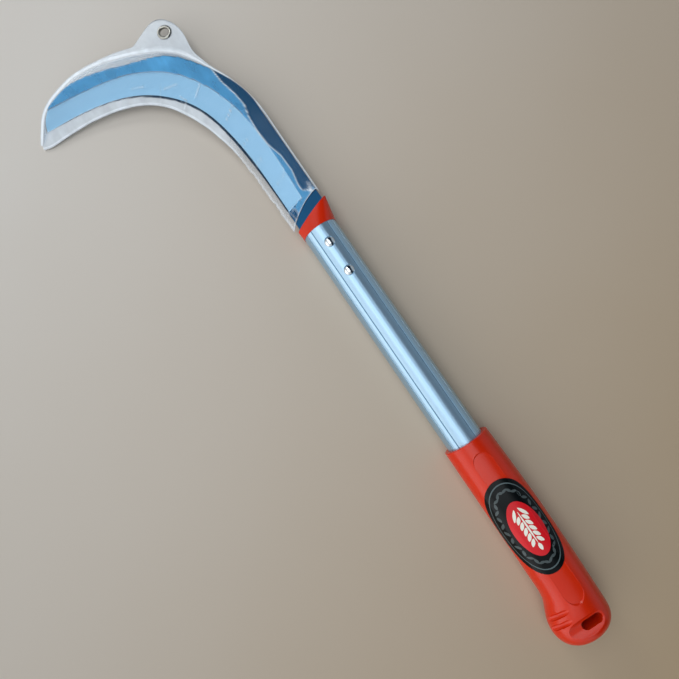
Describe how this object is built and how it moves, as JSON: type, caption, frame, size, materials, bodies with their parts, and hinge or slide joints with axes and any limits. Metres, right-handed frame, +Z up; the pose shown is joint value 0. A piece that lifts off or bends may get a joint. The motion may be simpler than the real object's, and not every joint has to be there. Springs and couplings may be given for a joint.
{
  "type": "hand sickle",
  "caption": "Long-handled hand sickle: hooked blade in a clear peel-off sheath, grooved aluminium tube handle, red plastic collar and grip with a lanyard slot.",
  "frame": {"origin": "centre of the bounding box in plan, on the floor the tool lies on", "axes": "+X along the handle from the butt to the blade, +Y towards the side the blade hooks to, +Z up, away from the floor"},
  "size_m": [0.5774, 0.1687, 0.0368],
  "materials": {
    "blued_blade_steel": "blued flats, bright ground bevel",
    "red_plastic": "glossy moulded",
    "anodised_aluminium": "drawn and clear anodised",
    "polished_rivet_steel": "polished",
    "black_label_vinyl": "laminated",
    "red_label_print": "laminated",
    "clear_sheath_vinyl": "clear flexible film, slightly rumpled",
    "plated_eyelet_steel": "nickel plated"
  },
  "bodies": {
    "sickle": {"blade": "blued_blade_steel", "collar": "red_plastic", "tube": "anodised_aluminium", "rivet_front": "polished_rivet_steel", "rivet_front_cap": "polished_rivet_steel", "rivet_rear": "polished_rivet_steel", "rivet_rear_cap": "polished_rivet_steel", "grip": "red_plastic", "label_backing": "black_label_vinyl", "label_disc": "red_label_print"},
    "sheath": {"sheath_front_film": "clear_sheath_vinyl", "sheath_back_film": "clear_sheath_vinyl", "eyelet": "plated_eyelet_steel", "eyelet_washer": "plated_eyelet_steel"}
  },
  "joints": [
    {"name": "sheath_slide", "type": "slide", "parent": "sickle", "child": "sheath", "axis": [0.352, 0.936, 0], "range_m": [0, 0.175], "deforming": ["sheath_front_film", "sheath_back_film"]}
  ]
}
